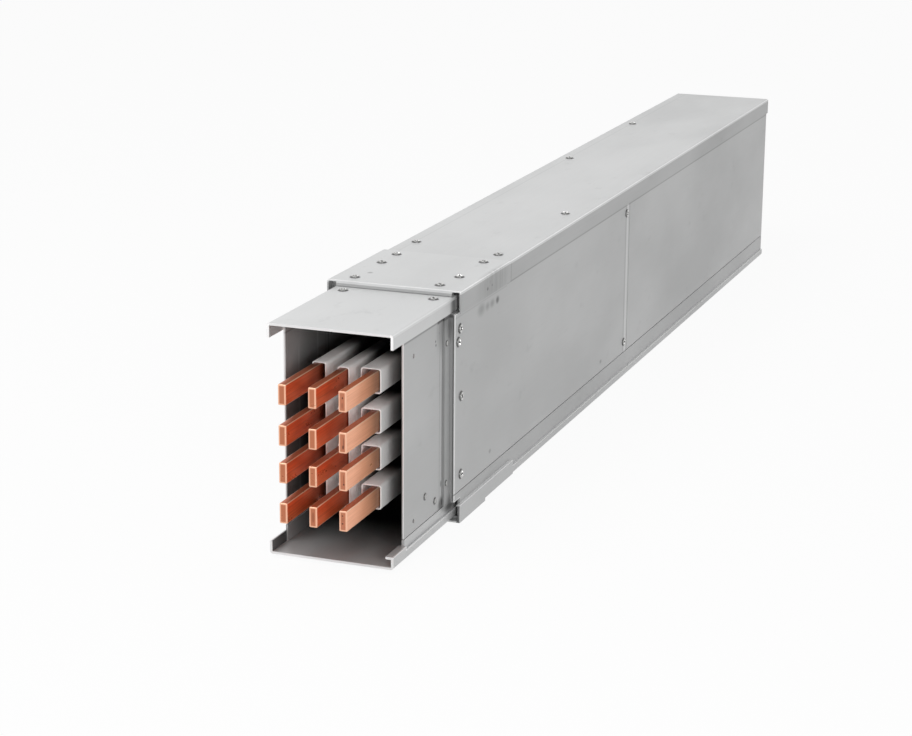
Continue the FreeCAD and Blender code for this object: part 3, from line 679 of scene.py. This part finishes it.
def buildSleeve(node, material, seed):
    # The wall's section is a long loop: out along the skin, round the lip, back inside, round the far lip
    low, high = (np.array(corner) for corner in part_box(node))
    wall = sleeveShape["wall"]
    half = wall / 2
    turn = np.linspace(-math.pi / 2, math.pi / 2, sleeveShape["lipSteps"])
    body = np.arange(low[1] + sleeveShape["stretch"], high[1] - half, sleeveShape["stretch"])
    nearIn = half + half * np.sin(turn)
    nearBack = low[1] + half - half * np.cos(turn)
    insets = np.concatenate([nearIn, np.full(len(body), wall), nearIn[::-1], np.zeros(len(body))])
    places = np.concatenate([nearBack, body, high[1] - half + half * np.cos(turn[::-1]), body[::-1]])
    rings = carriedRings(low, high, insets, places, sleeveShape)
    # The skin pulls in by a fraction of a millimetre along slow waves
    middle = (low + high) / 2
    short, long = sleeveShape["waves"]
    wave = 0.5 + 0.5 * np.sin(rings[..., 1] * short + seed) * np.sin(rings[..., 1] * long + 2.0 * seed)
    shrink = sleeveShape["sag"] * wave
    for axis in (0, 2):
        rings[..., axis] -= np.sign(rings[..., axis] - middle[axis]) * shrink
    along, around = rings.shape[:2]
    piece = finishMesh("dressed_" + node, rings.reshape(-1, 3), ringFaces(along, around, True),
                       sleeveShape["smoothBelow"])
    dress(piece, node, material)


def buildSleeves():
    rowSeed, columnSeed = sleeveShape["seeds"]
    for j, column in enumerate(columnNames):
        skin = insulationMaterial(column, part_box("sleeve_row1_" + column)[0][1])
        for i, row in enumerate(rowNames):
            buildSleeve("sleeve_%s_%s" % (row, column), skin, rowSeed * i + columnSeed * j)
    print("sleeves built")


# Screws and rivets: a turned profile, with a cross recess pressed into a screw's crown
screwShape = {
    "headRadius": 0.0058,
    "headHeight": 0.0025,
    "rimHeight": 0.0007,
    "shankRadius": 0.0024,
    "around": 44,
    "crossDepth": 0.0013,
    # shares of the head's radius
    "crossWidth": 0.24,
    "crossReach": 0.72,
    "widthSoft": 0.08,
    "reachSoft": 0.12,
}
rivetShape = {"headRadius": 0.0040, "headHeight": 0.0014, "rimHeight": 0.0003, "shankRadius": 0.0024, "around": 28}
domeShape = {"innermost": 0.06, "steps": 16, "power": 2.6, "spin": 0.7, "firstSpin": 0.3, "smoothBelow": 40}


def turnedHead(shape, shank, crossed, spin):
    # Height over radius: a dome that meets a short rim, then the underside and the shank
    radius, height = shape["headRadius"], shape["headHeight"]
    rim = shape["rimHeight"]
    inner = np.linspace(domeShape["innermost"], 1.0, domeShape["steps"]) * radius
    dome = rim + (height - rim) * np.sqrt(np.clip(1 - (inner / radius) ** domeShape["power"], 0, 1))
    radii = np.concatenate([inner, [radius, shape["shankRadius"], shape["shankRadius"]]])
    heights = np.concatenate([dome, [0.0, 0.0, -shank]])
    angle = np.linspace(0, 2 * math.pi, shape["around"], endpoint=False)
    x = radii[:, None] * np.cos(angle)[None, :]
    y = radii[:, None] * np.sin(angle)[None, :]
    z = np.repeat(heights[:, None], len(angle), axis=1)
    top = height
    if crossed:
        # The recess is deepest on two crossed bands and fades out at their ends
        turned = angle + spin
        u = radii[:, None] * np.cos(turned)[None, :] / radius
        v = radii[:, None] * np.sin(turned)[None, :] / radius
        besideArm = np.minimum(np.abs(u), np.abs(v))
        alongArm = np.maximum(np.abs(u), np.abs(v))
        press = (np.clip((shape["crossWidth"] - besideArm) / shape["widthSoft"], 0, 1)
                 * np.clip((shape["crossReach"] - alongArm) / shape["reachSoft"], 0, 1))
        press[len(inner):] = 0.0
        z = z - shape["crossDepth"] * press
        top = height - shape["crossDepth"]
    rings = np.stack([x, y, z], axis=-1)
    points = np.concatenate([rings.reshape(-1, 3), [[0, 0, top], [0, 0, -shank]]])
    along, around = rings.shape[:2]
    faces = ringFaces(along, around)
    crown, foot = along * around, along * around + 1
    last = (along - 1) * around
    for i in range(around):
        following = (i + 1) % around
        faces.append((crown, following, i))
        faces.append((foot, last + i, last + following))
    return points, faces


def looseParts(mesh):
    # Each vertex gets the number of its solid: the lowest number spreads along the edges until nothing changes
    flat = np.empty(len(mesh.vertices) * 3)
    mesh.vertices.foreach_get("co", flat)
    points = flat.reshape(-1, 3)
    ends = np.empty(len(mesh.edges) * 2, dtype=np.int32)
    mesh.edges.foreach_get("vertices", ends)
    welded = np.unique(np.round(points, 6), axis=0, return_inverse=True)[1].ravel()
    a, b = welded[ends[0::2]], welded[ends[1::2]]
    label = np.arange(welded.max() + 1)
    while True:
        low = np.minimum(label[a], label[b])
        spread = label.copy()
        np.minimum.at(spread, a, low)
        np.minimum.at(spread, b, low)
        if (spread == label).all():
            return points, label[welded]
        label = spread


def headPlaces(node, axis):
    # Middle of each head on its outer plane, and the fastener's whole reach, one for each solid of the node
    points, part = looseParts(nodes[node].data)
    side = int(np.argmax(np.abs(axis)))
    places = []
    for number in np.unique(part):
        group = points[part == number]
        middle = (group.min(axis=0) + group.max(axis=0)) / 2
        outer = group[:, side].max() if axis[side] > 0 else group[:, side].min()
        inner = group[:, side].min() if axis[side] > 0 else group[:, side].max()
        middle[side] = outer
        places.append((middle, abs(outer - inner)))
    return sorted(places, key=lambda item: tuple(np.round(item[0], 4)))


def buildFasteners(node, axis, shape, crossed):
    axis = np.array(axis, dtype=float)
    turn = np.array(Vector((0, 0, 1)).rotation_difference(Vector(axis)).to_matrix())
    places = headPlaces(node, axis)
    points, faces = [], []
    total = 0
    for i, (outer, reach) in enumerate(places):
        shank = reach - shape["headHeight"]
        one, cells = turnedHead(shape, shank, crossed, domeShape["spin"] * i + domeShape["firstSpin"])
        seat = outer - axis * shape["headHeight"]
        placed = one @ turn.T + seat
        points.append(placed)
        faces += [tuple(k + total for k in cell) for cell in cells]
        total += len(one)
    piece = finishMesh("dressed_" + node, np.concatenate(points), faces, domeShape["smoothBelow"])
    middles = [tuple(float(v) for v in outer) for outer, reach in places]
    dress(piece, node, platingMaterial("plated_" + node, middles, axis, shape, crossed))


def buildAllFasteners():
    for node in ("end_cap_screws", "joint_cover_screws", "top_cover_screws"):
        buildFasteners(node, (0, 0, 1), screwShape, True)
    for side, way in (("left", -1), ("right", 1)):
        for kind in ("side_panel_screws_", "seam_screws_"):
            buildFasteners(kind + side, (way, 0, 0), screwShape, True)
        for kind in ("end_plate_rivets_", "closure_rivets_"):
            buildFasteners(kind + side, (way, 0, 0), rivetShape, False)
    print("screws and rivets built")


# Sheets keep the frame's shapes: each group gets its finish, painted shadow round its screws and painted shade on its
# inside
# A box has its low corner and its high one, each with X, Y and Z
sheetPlaces = {
    "front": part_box("end_top_cap")[0][1],
    "under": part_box("end_bottom_channel")[0][2],
    "capTop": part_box("end_top_cap")[1][2],
    "capSide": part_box("end_top_cap")[1][0],
    "capFoot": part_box("end_top_cap")[0][2],
    "plateFront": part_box("end_side_plate_right")[0][1],
    "plateSide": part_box("end_side_plate_right")[1][0],
    "jointFront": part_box("joint_top_cover")[0][1],
    "jointRear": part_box("joint_top_cover")[1][1],
    "jointTop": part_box("joint_top_cover")[1][2],
    "jointSide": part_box("joint_top_cover")[1][0],
    "coverTop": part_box("top_cover")[1][2],
    "coverSide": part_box("top_cover")[1][0],
    "coverFoot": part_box("top_cover")[0][2],
    "panelFront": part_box("side_panel_front_right")[0][1],
    "panelSide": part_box("side_panel_front_right")[1][0],
    "noseFoot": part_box("end_side_plate_right")[0][2],
    "tongueTop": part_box("joint_bottom_cover")[1][2],
    "trayTop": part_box("bottom_cover")[1][2],
}
lineMarks = {
    "screwShadowRing": (1.32, 0.80),           # painted contact shadow round a head: share of the head's radius, depth
    "rivetShadowRing": (1.45, 0.65),
    "ringEdge": 0.80,
    "foldInset": 0.0011,                 # from a fold's corner to its painted highlight
    # painted shade on a side lip starts this far below its top
    "lipDrop": 0.0036,
    "capContact": (0.0035, 0.0011),      # painted contact shadow below a lip: its middle below the lip's foot, its half width
    "deepContact": (0.0034, 0.0026),
    "jointContact": (0.0052, 0.0009),
    "coverContact": (0.0029, 0.0010),
    "contactDepth": 0.45,
    "deepDepth": 0.92,
    "jointDepth": 0.16,
    "rearShadowLine": (0.0088, 0.0008),        # painted shadow line on the top cover behind its joint cover
    "edgeHalf": 0.0006,                  # half width of a painted highlight on an upper edge
    "farAway": 2.0,                      # past the end of the duct
    "coverLine": (0.0175, 0.0006, 0.16),     # inside the cover's left side, half width, depth
    "noseEdge": (0.0008, 0.9, 0.02),     # painted highlight on the nose's foot: half width, share, length
    "closureProud": 0.002,               # past the side plate's outer face
    "deepFrom": 0.150,                   # behind the mouth
}
# Strokes across the duct: how far behind the place they are counted from, half width, depth
strokes = {
    # painted shade on the lower joint cover's front, under the joint cover
    "jointUnderShade": (0.0, 0.0012, 0.80),
    "capShade": (-0.002, 0.007, 0.70),
    # painted shade on the cap's top ahead of the joint cover
    "capRearShade": (-0.0006, 0.0008, 0.40),
    # painted shade beside the panel's front edge
    "panelFrontShade": (0.0, 0.0009, 0.85),
    "panelDarkMark": (0.921, 0.0014, 0.28),
    # painted highlight, a pale band on the panel
    "panelPaleHighlight": (0.930, 0.0035, 0.30),
    # painted shadow along the closure's front edge
    "closureEdgeShadow": (0.1705, 0.0012, 0.30),
    "plateFaintLine": (0.158, 0.0013, 0.22),
    "plateLine": (0.1668, 0.0012, 0.50),
}
# Reach of the side faces that carry a stroke, counted from the middle plane
sideLimits = {
    "jointUnder": ("X", 0.0850, 0.0890),
    "capMouth": ("X", 0.0765, 0.081),
    "capLip": ("X", 0.0780, 0.0820),
    "channelLip": ("X", 0.0785, 0.081),
    "plateMouth": ("X", 0.0757, 0.0780),
}
panelEdge = {"dark": (-0.0040, -0.0014), "bright": (-0.0014, 0.001)}    # painted shade (dark) and painted highlight (bright) at the panel's front edge, counted from the panel's outer face
# Painted highlights on the outer edges of the channel's lip: height above its under face, start and end behind the
# mouth
lipHighlights = {"low": (0.012, 0.040, 0.40), "high": (0.016, 0, 0.043), "half": 0.0009, "share": 0.85}
# Upright dark streaks, grime and painted shade together: behind the mouth, half sizes, depth
fadedStreaks = {
    "joint": (0.315, (0.01, 0.075, 0.030), 0.30),
    "closure": (0.190, (0.01, 0.040, 0.040), 0.75),
    "plate": (0.172, (0.01, 0.032, 0.040), 0.60),
}
streakHeights = {"joint": 0.282, "plate": 0.252}
# Dirt and painted shade on the right side, the shade under the cap's lip and at the foot: millimetres behind the
# mouth and above the foot, half sizes, depth, hard share
dirtAndShade = {
    "plate": [(175.5, 237, 9, 10, 0.40, 0.35), (144, 244, 2.2, 2.2, 0.80, 0.35), (145, 239, 2.4, 2.6, 0.85, 0.35),
              (155.7, 251.8, 3, 1.6, 0.50, 0.35), (170, 248.3, 4, 1.6, 0.45, 0.35), (166, 30, 16, 14, 0.85, 0.35),
              (167, 32, 6, 9, 1.0, 0.35), (163.5, 57, 3.5, 6, 0.55, 0.35)],
    "panel": [(343.6, 251, 9, 7, 0.75, 0.20), (283.5, 252, 20, 12, 0.34, 0.10), (306, 251, 12, 8, 0.34, 0.10),
              (324, 251, 13, 8, 0.38, 0.10), (214, 54, 7, 5, 0.45, 0.35), (208, 160, 8, 7, 0.35, 0.35),
              (806, 50, 7, 4, 0.40, 0.35), (320.5, 54, 6, 4, 0.35, 0.35)],
    "lip": [(293.5, 276.9, 5, 3.4, 0.65, 0.35), (310.3, 278.3, 3.6, 2.6, 0.55, 0.35), (303, 284, 5, 6, 0.30, 0.35)],
    "closure": [(184, 243, 2.4, 8, 0.70, 0.35), (190, 16, 30, 24, 0.60, 0.35)],
    "channel": [(192, 19, 26, 10, 0.88, 0.35), (178, 22, 20, 7, 0.5, 0.35)],
    "reach": 0.004,
}
# Dirt on top: millimetres across from the middle and behind the mouth, half sizes, depth
topDirt = {
    "joint": [(-52.7, 249.4, 5, 6, 0.45), (-61.9, 220.4, 9, 11, 0.30)],
    "cover": [(58.8, 420, 8, 13, 0.55)],
    "reach": 0.012,
    "hard": 0.2,
}


def sideDirtAndShade(kind, side):
    # side: where the face lies across the duct, in metres
    front, under = sheetPlaces["front"], sheetPlaces["under"]
    return [((side, front + along / 1000, under + up / 1000), (dirtAndShade["reach"], halfAlong / 1000, halfUp / 1000),
             hard, depth) for along, up, halfAlong, halfUp, depth, hard in dirtAndShade[kind]]


def upperDirt(kind):
    front, top = sheetPlaces["front"], sheetPlaces["jointTop"]
    return [((across / 1000, front + along / 1000, top), (halfAcross / 1000, halfAlong / 1000, topDirt["reach"]),
             topDirt["hard"], depth) for across, along, halfAcross, halfAlong, depth in topDirt[kind]]


def headShadowRings(names, axis, shape, ring):
    # Painted contact shadow round the heads of one or more fastener nodes, right through along their axis
    axis = np.array(axis, dtype=float)
    share, depth = lineMarks[ring]
    reach = tuple(0.0 if a else shape["headRadius"] * share for a in axis)
    return [(tuple(middle), reach, lineMarks["ringEdge"], depth)
            for name in names for middle, _ in headPlaces(name, axis)]


def crossStroke(kind, start, *within):
    behind, half, depth = strokes[kind]
    return ("Y", start + behind, half, depth) + within


def crossHighlight(place, share, *within):
    # Painted highlight on an edge across the duct
    return ("Y", place, sheetMetal["cutDepth"], share) + within


def upperHighlight(place, share, *within):
    # Painted highlight on an edge along the duct
    return ("Z", place, lineMarks["edgeHalf"], share) + within


def contactShadow(foot, kind, depth, *within):
    # Painted contact shadow along the duct, below the foot of a lip
    drop, half = lineMarks[kind]
    return ("Z", foot - drop, half, lineMarks[depth]) + within


def lipHighlight(kind):
    # Painted highlight on the outer edge of the channel's lip
    height, near, far = lipHighlights[kind]
    front = sheetPlaces["front"]
    return ("Z", sheetPlaces["under"] + height, lipHighlights["half"], lipHighlights["share"], sideLimits["channelLip"],
            ("Y", front + near, front + far))


def fadedStreak(kind, side, height):
    behind, reach, depth = fadedStreaks[kind]
    return ((side, sheetPlaces["front"] + behind, height), reach, depth)


# A painted highlight along a fold, set in from its corner
def fold(side, top, share):
    return (side - lineMarks["foldInset"], top - lineMarks["foldInset"], share)


innerShade = {
    # side plates, in metres behind their front edge; shares are of the dark inner colour, painted shade
    "plateFace": (0.0755, 0.0759),               # from the inner face to the outer one, counted from the middle
    "plateShare": (0.45, 0.93),                  # at the front edge and at plateDepth
    "plateDepth": 0.085,
    "plateEnd": 0.20,                            # quite dark from here
    "upperLight": (0.17, 0.27, -0.14, 0.72),     # from one height to another the share falls by these
    # two upright streaks where the painted shade is lighter
    "streakPlaces": (0.038, 0.094),
    "streakHalf": (0.0020, 0.0014),
    "streakShare": 0.20,
    # channel
    "floorDepth": 0.16,
    "floorLeast": 0.08,
    "floorRight": (-0.07, 0.08, 0.0, -0.10),
    "leftLip": (-0.0766, -0.0764, 0.62, 0.0),
    "wallHalf": (0.0425, 0.0435, 0.0785, 0.0762),   # the lip's inner face lies nearer behind the mouth
    "floorTop": (0.0015, 0.0019),
    "cutBack": (0.0004, 0.0008),
}


def plateInsideShade(tree):
    # Painted shade on the inner faces of the end side plates: dull metal that falls to black, lighter towards the
    # top, with two upright streaks where the shade is lighter
    look, y, front = innerShade, objectAxis(tree, "Y"), sheetPlaces["plateFront"]
    depth = front + look["plateDepth"]
    share = maths(tree, "MAXIMUM", ranged(tree, y, front, depth, *look["plateShare"], True),
                  ranged(tree, y, depth, front + look["plateEnd"], 0.0, 1.0))
    share = maths(tree, "SUBTRACT", share, ranged(tree, objectAxis(tree, "Z"), *look["upperLight"], True))
    for place in look["streakPlaces"]:
        streak = band(tree, "Y", front + place, *look["streakHalf"])
        share = maths(tree, "SUBTRACT", share, product(tree, streak, look["streakShare"]))
    return product(tree, share, ranged(tree, fromMiddle(tree, "X"), *look["plateFace"], 1.0, 0.0))


def channelInsideShade(tree):
    # Painted shade on the channel's upper faces: light at the left of the mouth, darker further in
    look, y, front, under = innerShade, objectAxis(tree, "Y"), sheetPlaces["front"], sheetPlaces["under"]
    back = ranged(tree, y, front, front + look["floorDepth"], 0.0, 1.0)
    right = ranged(tree, objectAxis(tree, "X"), *look["floorRight"])
    leftLip = maths(tree, "ADD", ranged(tree, objectAxis(tree, "X"), *look["leftLip"]), look["floorLeast"])
    deepShade = maths(tree, "ADD", maths(tree, "ADD", back, right), leftLip, clamp=True)
    turnFrom, turnTo, wide, narrow = look["wallHalf"]
    wall = ranged(tree, y, front + turnFrom, front + turnTo, wide, narrow)
    inner = maths(tree, "LESS_THAN", fromMiddle(tree, "X"), wall)
    above = ranged(tree, objectAxis(tree, "Z"), *(under + top for top in look["floorTop"]), 0.0, 1.0)
    behindCut = ranged(tree, y, *(front + back for back in look["cutBack"]), 0.0, 1.0)
    return product(tree, deepShade, behindCut, inner, above)


def coverFinishes():
    p, joint, rear, drop = sheetPlaces, sheetPlaces["jointFront"], sheetPlaces["jointRear"], lineMarks["lipDrop"]
    rearBack, rearHalf = lineMarks["rearShadowLine"]
    fromSide, lineHalf, lineDepth = lineMarks["coverLine"]
    return {
        "joint_top_cover": sheetMaterial(
            "jointSheet",
            spots=(headShadowRings(["joint_cover_screws"], (0, 0, 1), screwShape, "screwShadowRing") + sideDirtAndShade("lip", p["jointSide"])
                   + upperDirt("joint")),
            highlights=[upperHighlight(p["jointTop"] - 0.0003, 0.75, ("Y", joint - 0.001, joint + 0.0009))],
            folds=[fold(p["jointSide"], p["jointTop"], 1.0)],
            lip=(p["jointTop"] - drop, 0.42),
            streaks=[fadedStreak("joint", p["jointSide"], p["under"] + streakHeights["joint"])]),
        "joint_bottom_cover": sheetMaterial(
            "lowerJointSheet",
            lines=[crossStroke("jointUnderShade", joint, sideLimits["jointUnder"])],
            highlights=[upperHighlight(p["tongueTop"], 0.80)]),
        "top_cover": sheetMaterial(
            "coverSheet",
            spots=headShadowRings(["top_cover_screws"], (0, 0, 1), screwShape, "screwShadowRing") + upperDirt("cover"),
            # painted shadow behind the joint cover's rear edge, then a faint line inside the cover's left side
            lines=[("Y", rear + rearBack, rearHalf, lineMarks["contactDepth"], ("Z", 0, p["coverTop"] - 0.003)),
                   ("X", fromSide - p["coverSide"], lineHalf, lineDepth, ("Y", rear, lineMarks["farAway"]))],
            folds=[fold(p["coverSide"], p["coverTop"], 0.8)],
            lip=(p["coverTop"] - drop, 0.40)),
        "bottom_cover": sheetMaterial("traySheet", highlights=[upperHighlight(p["trayTop"], 0.80)]),
    }


def mouthFinishes():
    p, front, joint, capTop = sheetPlaces, sheetPlaces["front"], sheetPlaces["jointFront"], sheetPlaces["capTop"]
    return {
        "end_top_cap": sheetMaterial(
            "capSheet",
            spots=headShadowRings(["end_cap_screws"], (0, 0, 1), screwShape, "screwShadowRing"),
            highlights=[crossHighlight(front, 0.35), crossHighlight(front, 1.0, sideLimits["capMouth"])],
            folds=[fold(p["capSide"], capTop, 0.4)],
            lines=[crossStroke("capShade", joint, ("Z", 0, capTop - 0.0035), sideLimits["capLip"]),
                   crossStroke("capRearShade", joint, ("Z", capTop - 0.001, 1))],
            lip=(capTop - lineMarks["lipDrop"], 0.12)),
        "end_bottom_channel": sheetMaterial(
            "channelSheet",
            spots=sideDirtAndShade("channel", sideLimits["channelLip"][1]),
            highlights=[crossHighlight(front, 0.5), lipHighlight("low"), lipHighlight("high")],
            insideShadeMask=channelInsideShade),
    }


def sideFinishes():
    p, front, panel = sheetPlaces, sheetPlaces["front"], sheetPlaces["panelSide"]
    start, foot, joint, rear = p["panelFront"], p["coverFoot"], p["jointFront"], p["jointRear"]
    # Painted contact shadows below the lips
    underJoint = contactShadow(foot, "jointContact", "jointDepth", ("Y", start, rear))
    underCover = contactShadow(foot, "coverContact", "contactDepth", ("Y", rear, rear + lineMarks["farAway"]))
    # Painted shade and painted highlight at the front edge of the panel and the rail
    dark, bright = (("X", panel + low, panel + high) for low, high in (panelEdge["dark"], panelEdge["bright"]))
    frontShadeLine, frontHighlight = crossStroke("panelFrontShade", start, dark), crossHighlight(start, 1.0, bright)
    noseHalf, noseShare, noseLength = lineMarks["noseEdge"]
    return {
        "side_panel_front": sheetMaterial(
            "panelSheet",
            spots=(headShadowRings(["side_panel_screws_right", "seam_screws_right"], (1, 0, 0), screwShape, "screwShadowRing")
                   + sideDirtAndShade("panel", panel)),
            highlights=[frontHighlight, upperHighlight(foot, 1.0, ("Y", start, joint - 0.001)), crossStroke("panelPaleHighlight", front)],
            lines=[underJoint, underCover, frontShadeLine, crossStroke("panelDarkMark", front)]),
        "side_panel_rear": sheetMaterial("rearPanelSheet", lines=[underCover]),
        "bottom_rail": sheetMaterial(
            "railSheet",
            highlights=[frontHighlight, ("Z", p["noseFoot"], noseHalf, noseShare, ("Y", start, start + noseLength))],
            lines=[frontShadeLine]),
        "seam_strip": sheetMaterial("stripSheet"),
    }


def plateFinishes():
    p, front, plate = sheetPlaces, sheetPlaces["front"], sheetPlaces["plateSide"]
    closure, foot, joint = plate + lineMarks["closureProud"], p["capFoot"], p["jointFront"]
    # Painted contact shadows below the cap's lip
    underCap = contactShadow(foot, "capContact", "contactDepth", ("Y", p["plateFront"], joint))
    deepUnderCap = contactShadow(foot, "deepContact", "deepDepth", ("Y", front + lineMarks["deepFrom"], joint))
    return {
        "closure_angle": sheetMaterial(
            "closureSheet",
            spots=sideDirtAndShade("closure", closure),
            lines=[crossStroke("closureEdgeShadow", front), deepUnderCap],
            streaks=[fadedStreak("closure", closure, p["coverFoot"])]),
        "end_side_plate": sheetMaterial(
            "housingSheet",
            spots=(headShadowRings(["end_plate_rivets_right"], (1, 0, 0), rivetShape, "rivetShadowRing")
                   + sideDirtAndShade("plate", plate)),
            highlights=[crossHighlight(p["plateFront"], 0.6, sideLimits["plateMouth"])],
            lines=[underCap, deepUnderCap, crossStroke("plateFaintLine", front),
                   crossStroke("plateLine", front)],
            insideShadeMask=plateInsideShade,
            streaks=[fadedStreak("plate", plate, p["under"] + streakHeights["plate"])]),
        "bar_support": boardMaterial("supportBoard"),
    }


def dressSheets():
    finishes = {**coverFinishes(), **mouthFinishes(), **sideFinishes(), **plateFinishes()}
    for name, holder in nodes.items():
        for start, material in finishes.items():
            if name.startswith(start):
                for slot in holder.material_slots:
                    slot.material = material
    print("sheets finished")


dressSheets()
buildBars()
buildSleeves()
buildAllFasteners()
